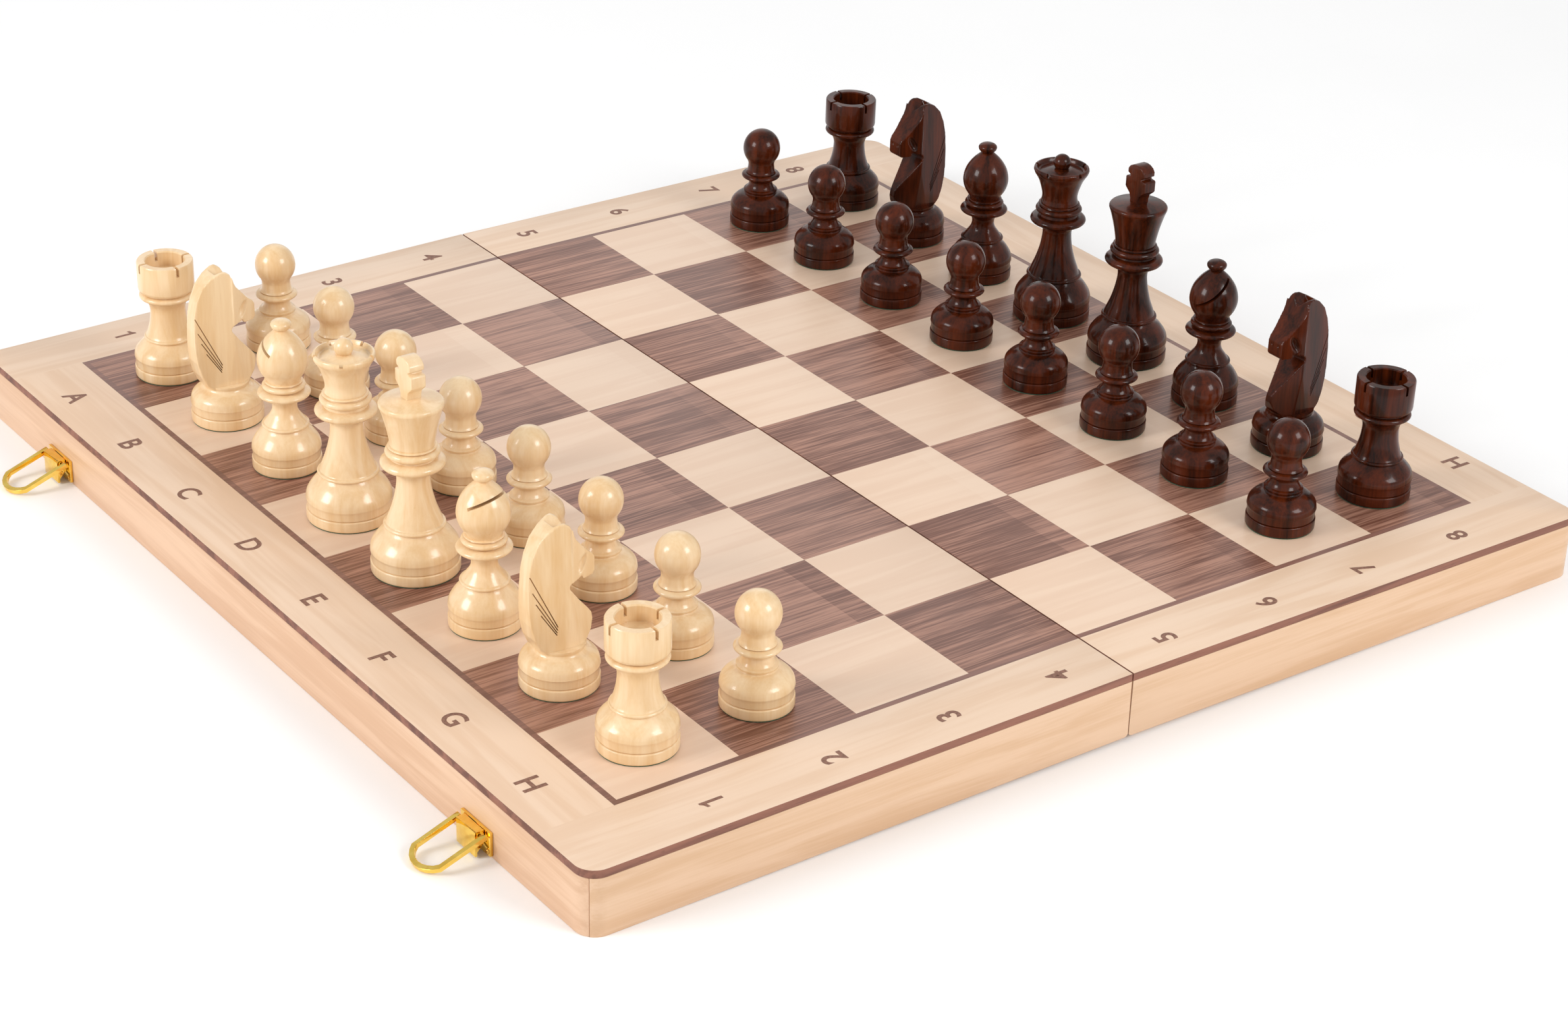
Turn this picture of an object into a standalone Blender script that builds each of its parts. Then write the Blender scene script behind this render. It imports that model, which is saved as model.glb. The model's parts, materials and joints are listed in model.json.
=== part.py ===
"""A folding wooden chess set: a two-leaf board that closes into the case for its 32 men.

Metres, +Z up, with the board open and the men set up. White stands at -X and the a file is at +Y.
Each half is modelled flat in a frame whose origin is on the fold axis, x growing away from the fold
on the black side. The halves are then let down by the small angle that rests their outer rims and
the hinge barrels on the table. The white half is the lid with the latches, the black half the tray.
"""

import math

import bmesh
import bpy

MM = 0.001

# Clearances
GAP = 0.3 * MM  # between pieces that move or stand on one another
GLUE_GAP = 0.1 * MM  # between wooden pieces glued flat together
AXIS_CLEAR = GAP / 2  # from the fold axis to a half's rim and to its fold face

# Board
SQUARE = 55.0 * MM
BORDER = 35.9 * MM
FOLD_KERF = 1.1 * MM  # lost from the squares next to the fold
CASE_DEPTH = 28.9 * MM  # rim to playing surface
PANEL_T = 3.5 * MM
RAIL_W = 14.0 * MM
CORNER_R = 8.8 * MM
FOLD_EDGE_R = 1.8 * MM
CORNER_STEPS = 5

# Foam insert of the tray and lining of the lid
LINER_GAP = 0.5 * MM
FOAM_BELOW_RIM = 1.0 * MM
LINING_T = 1.0 * MM
TROUGH_DEPTH = 20.0 * MM
TROUGH_WALL = 4.5 * MM
TROUGH_ROWS = 3

# Hinges
HINGE_FROM_END = 70.0 * MM
BARREL_R = 1.6 * MM
BORE_R = 1.0 * MM
PIN_R = 0.7 * MM
PIN_HEAD_R = 1.45 * MM
PIN_HEAD_T = 0.7 * MM
KNUCKLES = 5
LEAF_LENGTH = 44.0 * MM
LEAF_T = 1.0 * MM
LEAF_LOW = 0.75 * MM  # underside of the leaf above the fold axis
LEAF_REACH = 12.5 * MM
TAB_START = 1.2 * MM
NOTCH_END_GAP = 2.0 * MM

# Draw latches on the lid's front rail: "out" is away from the rail, "up" away from the rim
LATCH_FROM_END = {"a": 79.3 * MM, "h": 74.9 * MM}
PLATE_W = 21.0 * MM
PLATE_LOW = 1.5 * MM
PLATE_HIGH = 11.8 * MM
PLATE_T = 1.3 * MM
EAR_GAP = 0.45 * MM  # from an ear to the cheek outside it
EAR_T = 1.0 * MM
EAR_R = 1.35 * MM
PIVOT_OUT = 3.0 * MM
PIVOT_UP = 6.5 * MM
LATCH_PIN_R = 0.5 * MM
PIVOT_PIN_PROUD = 0.65 * MM
LEVER_SIDE_GAP = 1.35 * MM  # from a cheek to the loop's arm beside it
LEVER_SHEET = 0.9 * MM
LEVER_BACK = 1.75 * MM
LEVER_FRONT = 5.6 * MM
LEVER_LOW = 0.9 * MM
LEVER_HIGH = 11.7 * MM
CHEEK_BACK_UP = 6.0 * MM
CHEEK_FRONT_UP = 2.6 * MM
ROOT_OUT = 3.7 * MM
ROOT_UP = 9.9 * MM
LOOP_HALF = 10.3 * MM
LOOP_BAR = 2.2 * MM
LOOP_T = 2.0 * MM
LOOP_STRAIGHT = 19.5 * MM
LOOP_LENGTH = 25.6 * MM
LOOP_BACK = 1.2 * MM
LOOP_STEPS = 8

# Catches on the tray's front rail
CATCH_HALF = 11.0 * MM
CATCH_NEAR = 5.0 * MM
CATCH_FAR = 19.0 * MM
CATCH_T = 1.2 * MM
HOOK_SIDE_GAP = 3.1 * MM
HOOK_NEAR = 9.6 * MM
HOOK_FAR = 11.3 * MM
HOOK_LIP_FAR = 14.2 * MM
HOOK_LIP_IN = 4.1 * MM
HOOK_OUT = 5.0 * MM

# Men: radii and heights of the turned features
SIDES = 12
BALL_STEPS = 4
BEAD_HALF = 1.2 * MM
FEET = {
    # base radius, bell height, ring radius, ring height, stem radius, stem height
    "king": (18.6 * MM, 9.3 * MM, 12.9 * MM, 20.9 * MM, 6.9 * MM, 41.3 * MM),
    "queen": (18.3 * MM, 9.3 * MM, 13.1 * MM, 21.2 * MM, 6.9 * MM, 42.5 * MM),
    "bishop": (15.1 * MM, 9.0 * MM, 10.3 * MM, 20.0 * MM, 5.4 * MM, 27.8 * MM),
    "rook": (16.2 * MM, 9.3 * MM, 11.3 * MM, 18.4 * MM, 7.9 * MM, 31.9 * MM),
    "pawn": (14.9 * MM, 9.2 * MM, 9.0 * MM, 17.3 * MM, 6.0 * MM, 23.0 * MM),
}
STEM_STEPS = {"king": (0.4, 1.0), "queen": (0.4, 1.0), "bishop": (1.0,), "rook": (0.5, 1.0), "pawn": (1.0,)}
KING_COLLARS = ((13.5 * MM, 49.0 * MM), (11.4 * MM, 53.9 * MM))
KING_NECK = (9.4 * MM, 57.2 * MM)
KING_CUP = (13.5 * MM, 75.2 * MM)
KING_TOP = 96.0 * MM
CROSS_SPAN = 14.0 * MM
CROSS_ARM = 5.0 * MM
CROSS_T = 4.4 * MM
CROSS_CENTRE = 88.5 * MM
QUEEN_COLLARS = ((13.2 * MM, 49.5 * MM), (11.0 * MM, 54.7 * MM))
QUEEN_NECK = (8.4 * MM, 62.5 * MM)
QUEEN_CROWN = (13.2 * MM, 73.4 * MM)
QUEEN_BALL_R = 4.1 * MM
QUEEN_TOP = 82.0 * MM
BISHOP_COLLARS = ((11.1 * MM, 34.9 * MM), (9.4 * MM, 38.4 * MM))
BISHOP_NECK = (7.5 * MM, 42.0 * MM)
MITRE_MAX = (10.4 * MM, 50.7 * MM)
FINIAL = (4.5 * MM, 66.5 * MM)
BISHOP_TOP = 69.0 * MM
MITRE_SLIT = 1.3 * MM
MITRE_SLIT_Z = 57.0 * MM
ROOK_FLANGE = (12.4 * MM, 38.8 * MM)
ROOK_CROWN_R = 12.7 * MM
ROOK_TOP = 55.5 * MM
ROOK_BORE_R = 8.7 * MM
ROOK_BORE_DEPTH = 7.0 * MM
CRENEL_W = 1.4 * MM
CRENEL_DEPTH = 4.2 * MM
PAWN_DISC = (9.2 * MM, 25.4 * MM)
PAWN_NECK_R = 5.2 * MM
PAWN_BALL_R = 9.25 * MM
PAWN_TOP = 49.5 * MM
KNIGHT_BASE_R = 16.1 * MM
KNIGHT_BELL = 9.3 * MM
KNIGHT_NECK = (11.0 * MM, 17.6 * MM)
KNIGHT_HEAD_T = 15.0 * MM
KNIGHT_HEAD = (
    # x forward and height, in millimetres: chest, throat and jaw, nose and brow, ear, crest and neck
    (4.3, 16.5), (9.2, 20.0), (11.9, 25.0), (10.6, 29.0), (5.2, 37.0), (0.6, 45.4), (5.9, 48.4),
    (12.8, 46.7), (12.7, 54.2), (9.7, 58.0), (1.5, 66.5), (-1.0, 72.0), (-4.7, 70.0), (-10.0, 65.5),
    (-13.0, 57.5), (-14.6, 48.7), (-14.6, 34.6), (-11.3, 19.6), (-9.0, 16.5),
)

FILES = "abcdefgh"
BACK_RANK = ("rook", "knight", "bishop", "queen", "king", "bishop", "knight", "rook")

# Worked out from the sizes above
HALF = 4 * SQUARE + BORDER - FOLD_KERF
WIDTH = 8 * SQUARE + 2 * BORDER
FACE = AXIS_CLEAR + HALF
RIM = AXIS_CLEAR
TOP = RIM + CASE_DEPTH
PANEL_UNDER = TOP - PANEL_T
RAIL_TOP = PANEL_UNDER - GLUE_GAP
LEVER_HALF = LOOP_HALF - LOOP_BAR - LEVER_SIDE_GAP
STUB_INNER = LEVER_HALF - LEVER_SHEET - EAR_GAP
EAR_Y = STUB_INNER - EAR_T / 2
PIVOT_PIN_HALF = LEVER_HALF + PIVOT_PIN_PROUD
HOOK_HALF = LOOP_HALF - LOOP_BAR - HOOK_SIDE_GAP
DROOP = math.asin(BARREL_R / math.hypot(FACE, RIM)) + math.atan2(RIM, FACE)
# The loop lies on its bar's lower edge, GAP above the table
ROOT_ABOVE_TABLE = ROOT_UP * math.cos(DROOP) - ROOT_OUT * math.sin(DROOP)
LOOP_ARM = math.hypot(LOOP_LENGTH, LOOP_T / 2)
LOOP_SLOPE = math.asin((ROOT_ABOVE_TABLE - GAP) / LOOP_ARM) - math.atan2(LOOP_T / 2, LOOP_LENGTH)
LOOP_REACH = ROOT_OUT + LOOP_LENGTH * math.cos(LOOP_SLOPE) + LOOP_T / 2 * math.sin(LOOP_SLOPE)
FOLD_X = (LOOP_REACH - HOOK_OUT) / 2


# ---- modelling helpers ----

def linked(name, mesh):
    obj = bpy.data.objects.new(name, mesh)
    bpy.context.scene.collection.objects.link(obj)
    return obj


def from_bmesh(name, bm):
    bmesh.ops.recalc_face_normals(bm, faces=bm.faces)
    mesh = bpy.data.meshes.new(name)
    bm.to_mesh(mesh)
    bm.free()
    return linked(name, mesh)


def prism(name, outline, sweep):
    """A flat outline of 3-D points swept along a vector."""
    bm = bmesh.new()
    face = bm.faces.new([bm.verts.new(point) for point in outline])
    swept = bmesh.ops.extrude_face_region(bm, geom=[face])["geom"]
    moved = [v for v in swept if isinstance(v, bmesh.types.BMVert)]
    bmesh.ops.translate(bm, verts=moved, vec=sweep)
    return from_bmesh(name, bm)


def plan_prism(name, outline, low, high):
    """An outline in x and y, from height low to high."""
    return prism(name, [(x, y, low) for x, y in outline], (0, 0, high - low))


def side_prism(name, outline, y_low, y_high):
    """An outline in x and z, from y_low to y_high."""
    return prism(name, [(x, y_low, z) for x, z in outline], (0, y_high - y_low, 0))


def block(name, xs, ys, zs):
    x0, x1 = sorted(xs)
    y0, y1 = sorted(ys)
    return plan_prism(name, [(x0, y0), (x1, y0), (x1, y1), (x0, y1)], min(zs), max(zs))


def arc(centre, radius, start, end, steps):
    """Points on an arc, angles in degrees."""
    angles = [math.radians(start + (end - start) * i / steps) for i in range(steps + 1)]
    return [(centre[0] + radius * math.cos(a), centre[1] + radius * math.sin(a)) for a in angles]


def rod(name, radius, centre, ys, sides=12):
    """A round rod along Y, centred on (x, z)."""
    return side_prism(name, arc(centre, radius, 0, 360, sides)[:-1], min(ys), max(ys))


def turned(name, profile):
    """A solid turned from a profile of (radius, height) that runs from the axis to the axis."""
    bm = bmesh.new()
    points = [bm.verts.new((r, 0, z)) for r, z in profile]
    edges = [bm.edges.new(pair) for pair in zip(points, points[1:])]
    bmesh.ops.spin(bm, geom=points + edges, axis=(0, 0, 1), cent=(0, 0, 0), angle=math.tau, steps=SIDES)
    bmesh.ops.remove_doubles(bm, verts=bm.verts, dist=MM / 1000)
    return from_bmesh(name, bm)


def boolean(target, tool, operation):
    modifier = target.modifiers.new(tool.name, "BOOLEAN")
    modifier.object = tool
    modifier.operation = operation
    tool.hide_render = True
    tool.display_type = "WIRE"
    return target


def cut(target, tool):
    return boolean(target, tool, "DIFFERENCE")


def fuse(target, tool):
    return boolean(target, tool, "UNION")


def frozen(obj):
    """The object's mesh with its Booleans carried out, its tools removed."""
    graph = bpy.context.evaluated_depsgraph_get()
    mesh = bpy.data.meshes.new_from_object(obj.evaluated_get(graph))
    mesh.name = obj.name
    for tool in [m.object for m in obj.modifiers] + [obj]:
        bpy.data.objects.remove(tool)
    return mesh


def material(name, colour, roughness, metallic=0.0):
    made = bpy.data.materials.new(name)
    made.use_nodes = True
    shader = made.node_tree.nodes["Principled BSDF"]
    shader.inputs["Base Color"].default_value = (*colour, 1)
    shader.inputs["Roughness"].default_value = roughness
    shader.inputs["Metallic"].default_value = metallic
    return made


def finish(obj, parent, finish_material):
    obj.parent = parent
    obj.data.materials.clear()
    obj.data.materials.append(finish_material)
    obj.data.shade_smooth()
    obj.data.set_sharp_from_angle(angle=math.radians(30))
    return obj


def under(parent, *tools):
    """Cutters follow the half that they cut."""
    for tool in tools:
        tool.parent = parent


# ---- the two halves ----

def mirrored(outline, side):
    return [(side * x, y) for x, y in outline]


def rail_outlines():
    """Plan outlines of a half's four rails, mitred with a glue gap, x growing away from the fold."""
    y_out = WIDTH / 2
    y_in = y_out - RAIL_W
    front_in = FACE - RAIL_W
    hinge_in = AXIS_CLEAR + RAIL_W
    shift = GLUE_GAP / math.sqrt(2)
    turn = math.degrees(math.asin(GLUE_GAP / 2 / CORNER_R))
    centre = (FACE - CORNER_R, y_out - CORNER_R)
    front_end = arc(centre, CORNER_R, 0, 45 - turn, CORNER_STEPS) + [(front_in, y_in - shift)]
    side_end = arc(centre, CORNER_R, 45 + turn, 90, CORNER_STEPS)
    side = [(front_in - shift, y_in)] + side_end
    side += [(AXIS_CLEAR + shift, y_out), (hinge_in + shift, y_in)]
    hinge_end = [(AXIS_CLEAR, y_out - shift), (hinge_in, y_in - shift)]
    flip = [(x, -y) for x, y in side]
    return {
        "front_rail": front_end + [(x, -y) for x, y in reversed(front_end)],
        "hinge_rail": hinge_end + [(x, -y) for x, y in reversed(hinge_end)],
        "side_rail_a": side,
        "side_rail_h": flip,
    }


def panel_outline():
    corner = arc((FACE - CORNER_R, WIDTH / 2 - CORNER_R), CORNER_R, 0, 90, 2 * CORNER_STEPS)
    half = corner + [(AXIS_CLEAR, WIDTH / 2)]
    return half + [(x, -y) for x, y in reversed(half)]


def fold_edge_cutter(name, side):
    """Rounds the rim's edge at the fold, over the full width."""
    centre = (AXIS_CLEAR + FOLD_EDGE_R, RIM + FOLD_EDGE_R)
    outer = AXIS_CLEAR - FOLD_EDGE_R
    outline = arc(centre, FOLD_EDGE_R, 180, 270, CORNER_STEPS)
    outline += [(centre[0], outer), (outer, outer), (outer, centre[1])]
    reach = WIDTH / 2 + RAIL_W
    return side_prism(name, mirrored(outline, side), -reach, reach)


def hinge_centres():
    offset = WIDTH / 2 - HINGE_FROM_END
    return {"a": offset, "h": -offset}


def hinge_notch(name, side, centre):
    half = LEAF_LENGTH / 2 + NOTCH_END_GAP
    xs = (-side * RAIL_W, side * (AXIS_CLEAR + 2 * RAIL_W))
    ceiling = max(LEAF_LOW + LEAF_T, BARREL_R) + GAP
    return block(name, xs, (centre - half, centre + half), (-RAIL_W, ceiling))


def make_half(name, side, parent, wood, veneer):
    rails = {}
    for rail, outline in rail_outlines().items():
        obj = plan_prism(f"{name}_{rail}", mirrored(outline, side), RIM, RAIL_TOP)
        rails[rail] = finish(obj, parent, wood)
    edge = fold_edge_cutter(f"{name}_fold_edge", side)
    under(parent, edge)
    for rail in ("hinge_rail", "side_rail_a", "side_rail_h"):
        cut(rails[rail], edge)
    for end, centre in hinge_centres().items():
        notch = hinge_notch(f"{name}_notch_{end}", side, centre)
        under(parent, notch)
        cut(rails["hinge_rail"], notch)
    panel = plan_prism(f"{name}_panel", mirrored(panel_outline(), side), PANEL_UNDER, TOP)
    finish(panel, parent, veneer)


def inner_space(side):
    """x and y limits of the hollow of a half, inside the liner gap."""
    xs = (side * (AXIS_CLEAR + RAIL_W + LINER_GAP), side * (FACE - RAIL_W - LINER_GAP))
    reach = WIDTH / 2 - RAIL_W - LINER_GAP
    return sorted(xs), (-reach, reach)


def make_lining(parent, lining):
    xs, ys = inner_space(-1)
    obj = block("lid_lining", xs, ys, (RAIL_TOP - LINING_T, RAIL_TOP))
    finish(obj, parent, lining)


def trough_boxes():
    """The troughs of the foam: rows along Y, one row set for each colour."""
    xs, ys = inner_space(1)
    row_pitch = (xs[1] - xs[0] - TROUGH_WALL) / TROUGH_ROWS
    boxes = []
    for row in range(TROUGH_ROWS):
        x0 = xs[0] + TROUGH_WALL + row * row_pitch
        for y0, y1 in ((ys[0] + TROUGH_WALL, -TROUGH_WALL / 2), (TROUGH_WALL / 2, ys[1] - TROUGH_WALL)):
            boxes.append(((x0, x0 + row_pitch - TROUGH_WALL), (y0, y1)))
    return boxes


def make_foam(parent, foam):
    xs, ys = inner_space(1)
    mouth = RIM + FOAM_BELOW_RIM
    obj = block("tray_foam", xs, ys, (mouth, RAIL_TOP))
    for number, (tx, ty) in enumerate(trough_boxes()):
        trough = block(f"trough_{number}", tx, ty, (mouth - TROUGH_WALL, mouth + TROUGH_DEPTH))
        under(parent, trough)
        cut(obj, trough)
    finish(obj, parent, foam)


# ---- hinges ----

def knuckle_spans(centre):
    """(y_low, y_high) of each knuckle, along one hinge."""
    pitch = (LEAF_LENGTH + GAP) / KNUCKLES
    start = centre - LEAF_LENGTH / 2
    return [(start + i * pitch, start + (i + 1) * pitch - GAP) for i in range(KNUCKLES)]


def make_leaf(name, side, centre, spans, parent, metal):
    plate_start = BARREL_R + GAP
    ys = (centre - LEAF_LENGTH / 2, centre + LEAF_LENGTH / 2)
    leaf_z = (LEAF_LOW, LEAF_LOW + LEAF_T)
    leaf = block(name, (side * plate_start, side * LEAF_REACH), ys, leaf_z)
    for number, (y0, y1) in enumerate(spans):
        # the tab is a little thinner than the leaf, so that no faces coincide
        tab_xs = (side * TAB_START, side * (plate_start + LEAF_T))
        tab_zs = (LEAF_LOW + LEAF_T / 20, LEAF_LOW + 0.8 * LEAF_T)
        tab = block(f"{name}_tab_{number}", tab_xs, (y0 + GAP, y1 - GAP), tab_zs)
        barrel = rod(f"{name}_barrel_{number}", BARREL_R, (0, 0), (y0, y1))
        fuse(leaf, tab)
        fuse(leaf, barrel)
        under(parent, tab, barrel)
    bore_ys = (ys[0] - LEAF_T, ys[1] + LEAF_T)
    bore = rod(f"{name}_bore", BORE_R, (0, 0), bore_ys)
    under(parent, bore)
    cut(leaf, bore)
    finish(leaf, parent, metal)


def make_hinge_pin(name, centre, parent, metal):
    half = LEAF_LENGTH / 2 + GAP
    reach = half + PIN_HEAD_T
    pin = rod(name, PIN_R, (0, 0), (centre - half - PIN_HEAD_T / 2, centre + half + PIN_HEAD_T / 2))
    for end in (-1, 1):
        head = rod(f"{name}_head_{end + 1}", PIN_HEAD_R, (0, 0), (centre + end * half, centre + end * reach))
        under(parent, head)
        fuse(pin, head)
    finish(pin, parent, metal)


def make_hinges(lid, tray, metal):
    for end, centre in hinge_centres().items():
        spans = knuckle_spans(centre)
        make_leaf(f"hinge_{end}_lid_leaf", -1, centre, spans[0::2], lid, metal)
        make_leaf(f"hinge_{end}_tray_leaf", 1, centre, spans[1::2], tray, metal)
        make_hinge_pin(f"hinge_{end}_pin", centre, lid, metal)


# ---- draw latches and catches ----

def latch_centres():
    return {"a": WIDTH / 2 - LATCH_FROM_END["a"], "h": LATCH_FROM_END["h"] - WIDTH / 2}


def lid_face(points):
    """(out, up) on the lid's front rail to x and z in the lid's frame."""
    return [(-FACE - out, RIM + up) for out, up in points]


def make_latch_plate(end, centre, lid, metal):
    name = f"latch_{end}_plate"
    corners = lid_face([(GLUE_GAP, PLATE_LOW), (GLUE_GAP + PLATE_T, PLATE_HIGH)])
    (x0, z0), (x1, z1) = corners
    plate = block(name, (x0, x1), (centre - PLATE_W / 2, centre + PLATE_W / 2), (z0, z1))
    nose = arc((PIVOT_OUT, PIVOT_UP), EAR_R, 90, -90, CORNER_STEPS)
    root = GLUE_GAP + PLATE_T / 2
    outline = lid_face(nose + [(root, PIVOT_UP - EAR_R), (root, PIVOT_UP + EAR_R)])
    for side in (-1, 1):
        middle = centre + side * EAR_Y
        ear = side_prism(f"{name}_ear_{side + 1}", outline, middle - EAR_T / 2, middle + EAR_T / 2)
        under(lid, ear)
        fuse(plate, ear)
    axis = lid_face([(PIVOT_OUT, PIVOT_UP)])[0]
    pin = rod(f"{name}_pin", LATCH_PIN_R, axis, (centre - PIVOT_PIN_HALF, centre + PIVOT_PIN_HALF))
    under(lid, pin)
    fuse(plate, pin)
    finish(plate, lid, metal)


def about_pivot(points):
    """(out, up) to x and z about the lever's pivot."""
    return [(PIVOT_OUT - out, up - PIVOT_UP) for out, up in points]


def make_lever(end, centre, lid, metal):
    """A bent sheet: front and top walls between two cheeks, on the plate's pivot pin."""
    name = f"latch_{end}_lever"
    inner_front = LEVER_FRONT - LEVER_SHEET
    outline = about_pivot([
        (LEVER_BACK, LEVER_HIGH), (LEVER_FRONT, LEVER_HIGH), (LEVER_FRONT, LEVER_LOW),
        (inner_front, LEVER_LOW), (inner_front, CHEEK_FRONT_UP), (LEVER_BACK, CHEEK_BACK_UP),
    ])
    lever = side_prism(name, outline, -LEVER_HALF, LEVER_HALF)
    low, high = about_pivot([(0, 0), (inner_front, LEVER_HIGH - LEVER_SHEET)])
    inner = LEVER_HALF - LEVER_SHEET
    hollow = block(f"{name}_hollow", (low[0], high[0]), (-inner, inner), (low[1], high[1]))
    hole_r = LATCH_PIN_R + GAP
    through = (-2 * LEVER_HALF, 2 * LEVER_HALF)
    pivot_hole = rod(f"{name}_pivot_hole", hole_r, (0, 0), through)
    root_hole = rod(f"{name}_root_hole", hole_r, about_pivot([(ROOT_OUT, ROOT_UP)])[0], through)
    for tool in (hollow, pivot_hole, root_hole):
        tool.parent = lever
        cut(lever, tool)
    x, z = lid_face([(PIVOT_OUT, PIVOT_UP)])[0]
    lever.location = (x, centre, z)
    return finish(lever, lid, metal)


def loop_outline():
    """The U of the loop, x along the arms from the root, with an arched end."""
    half = LOOP_HALF - LOOP_BAR / 2
    length = LOOP_LENGTH - LOOP_BAR / 2
    rise = length - LOOP_STRAIGHT
    radius = (half ** 2 + rise ** 2) / (2 * rise)
    centre = (length - radius, 0)
    spread = math.degrees(math.asin(half / radius))
    outer = arc(centre, radius + LOOP_BAR / 2, spread, -spread, LOOP_STEPS)
    inner = arc(centre, radius - LOOP_BAR / 2, -spread, spread, LOOP_STEPS)
    outer = [(min(x, LOOP_LENGTH), max(-LOOP_HALF, min(LOOP_HALF, y))) for x, y in outer]
    clear = LOOP_HALF - LOOP_BAR
    inner = [(x, max(-clear, min(clear, y))) for x, y in inner]
    back = -LOOP_BACK
    ends = [(back, -LOOP_HALF), (back, -clear)]
    return [(back, LOOP_HALF)] + outer + ends + inner + [(back, clear)]


def make_loop(end, lever, metal):
    """A wire-thick U that hinges in the lever's cheeks, lying out and down to the table at rest."""
    name = f"latch_{end}_loop"
    outline = [(-x, y) for x, y in loop_outline()]
    loop = plan_prism(name, outline, -LOOP_T / 2, LOOP_T / 2)
    for side in (-1, 1):
        ys = (side * STUB_INNER, side * (LOOP_HALF - LOOP_BAR / 2))
        stub = rod(f"{name}_stub_{side + 1}", LATCH_PIN_R, (0, 0), ys)
        stub.parent = loop
        fuse(loop, stub)
    x, z = about_pivot([(ROOT_OUT, ROOT_UP)])[0]
    loop.location = (x, 0, z)
    loop.rotation_euler.y = DROOP - LOOP_SLOPE
    finish(loop, lever, metal)


def make_latches(lid, metal):
    for end, centre in latch_centres().items():
        make_latch_plate(end, centre, lid, metal)
        lever = make_lever(end, centre, lid, metal)
        make_loop(end, lever, metal)


def make_catches(tray, metal):
    """A screwed plate with a bent hook that takes the loop's bar when the case is shut."""
    for end, centre in latch_centres().items():
        name = f"catch_{end}"
        back = FACE + GLUE_GAP
        front = back + CATCH_T
        lip = (FACE + HOOK_LIP_IN, FACE + HOOK_OUT)
        ys = (centre - CATCH_HALF, centre + CATCH_HALF)
        hook_ys = (centre - HOOK_HALF, centre + HOOK_HALF)
        catch = block(name, (back, front), ys, (RIM + CATCH_NEAR, RIM + CATCH_FAR))
        outline = [
            (back + CATCH_T / 2, RIM + HOOK_NEAR), (lip[1], RIM + HOOK_NEAR), (lip[1], RIM + HOOK_LIP_FAR),
            (lip[0], RIM + HOOK_LIP_FAR), (lip[0], RIM + HOOK_FAR), (back + CATCH_T / 2, RIM + HOOK_FAR),
        ]
        hook = side_prism(f"{name}_hook", outline, *hook_ys)
        under(tray, hook)
        fuse(catch, hook)
        finish(catch, tray, metal)


# ---- men ----

def bead(radius, height, inner):
    return [(inner, height - BEAD_HALF), (radius, height), (inner, height + BEAD_HALF)]


def foot(kind):
    """Base, bell, ring and the stem that narrows towards the collar."""
    base_r, bell_z, ring_r, ring_z, stem_r, stem_z = FEET[kind]
    shoulder = ((base_r + ring_r) / 2, (bell_z + ring_z) / 2)
    profile = [(0, 0), (base_r, 0), (base_r, bell_z), shoulder]
    start = ring_r - BEAD_HALF
    profile += bead(ring_r, ring_z, start)
    for t in STEM_STEPS[kind]:
        radius = stem_r + (start - stem_r) * (1 - t) ** 2
        profile.append((radius, ring_z + BEAD_HALF + (stem_z - ring_z - BEAD_HALF) * t))
    return profile


def ball(radius, top, start_r):
    """A ball above a neck of radius start_r, to the top of the axis."""
    centre = top - radius
    low = -math.degrees(math.acos(start_r / radius))
    points = arc((0, centre), radius, low, 90, BALL_STEPS)
    return points[:-1] + [(0, top)]


def collars(pair, stem_r):
    (low_r, low_z), (high_r, high_z) = pair
    waist = high_r - 2 * BEAD_HALF
    lower = [(stem_r + BEAD_HALF, low_z - BEAD_HALF), (low_r, low_z), (waist, low_z + BEAD_HALF)]
    return lower + [(high_r, high_z), (waist, high_z + BEAD_HALF)]


def king():
    profile = foot("king") + collars(KING_COLLARS, FEET["king"][4])
    cup_r, root = KING_CUP
    profile += [KING_NECK, KING_CUP, (cup_r - BEAD_HALF, root + BEAD_HALF), (0, root + CROSS_ARM)]
    body = turned("king_body", profile)
    arm, span = CROSS_ARM / 2, CROSS_SPAN / 2
    half = [
        (arm, root), (arm, CROSS_CENTRE - arm), (span, CROSS_CENTRE - arm),
        (span, CROSS_CENTRE + arm), (arm, CROSS_CENTRE + arm), (arm, KING_TOP),
    ]
    outline = half + [(-y, z) for y, z in reversed(half)]
    cross = prism("king_cross", [(-CROSS_T / 2, y, z) for y, z in outline], (CROSS_T, 0, 0))
    return frozen(fuse(body, cross))


def queen():
    rim_r, rim_z = QUEEN_CROWN
    profile = foot("queen") + collars(QUEEN_COLLARS, FEET["queen"][4])
    profile += [QUEEN_NECK, QUEEN_CROWN, (rim_r - BEAD_HALF, rim_z)]
    profile += [(rim_r - 2 * BEAD_HALF, rim_z - BEAD_HALF)]
    profile += ball(QUEEN_BALL_R, QUEEN_TOP, QUEEN_BALL_R / 2)
    return frozen(turned("queen_body", profile))


def bishop():
    profile = foot("bishop") + collars(BISHOP_COLLARS, FEET["bishop"][4])
    neck_r, neck_z = BISHOP_NECK
    top_r, top_z = MITRE_MAX
    finial_r, finial_z = FINIAL
    profile += [BISHOP_NECK, MITRE_MAX]
    reach = finial_z - finial_r / 2 - top_z
    for t in (0.35, 0.7, 1.0):
        profile.append((finial_r / 2 + (top_r - finial_r / 2) * (1 - t ** 2), top_z + reach * t))
    profile += [FINIAL, (0, BISHOP_TOP)]
    body = turned("bishop_body", profile)
    slit_half = MITRE_SLIT / 2
    slit = block("slit", (-2 * top_r, -top_r / 5), (-2 * top_r, 2 * top_r), (-slit_half, slit_half))
    slit.rotation_euler = (math.radians(30), math.radians(25), 0)
    slit.location.z = MITRE_SLIT_Z
    return frozen(cut(body, slit))


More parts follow.
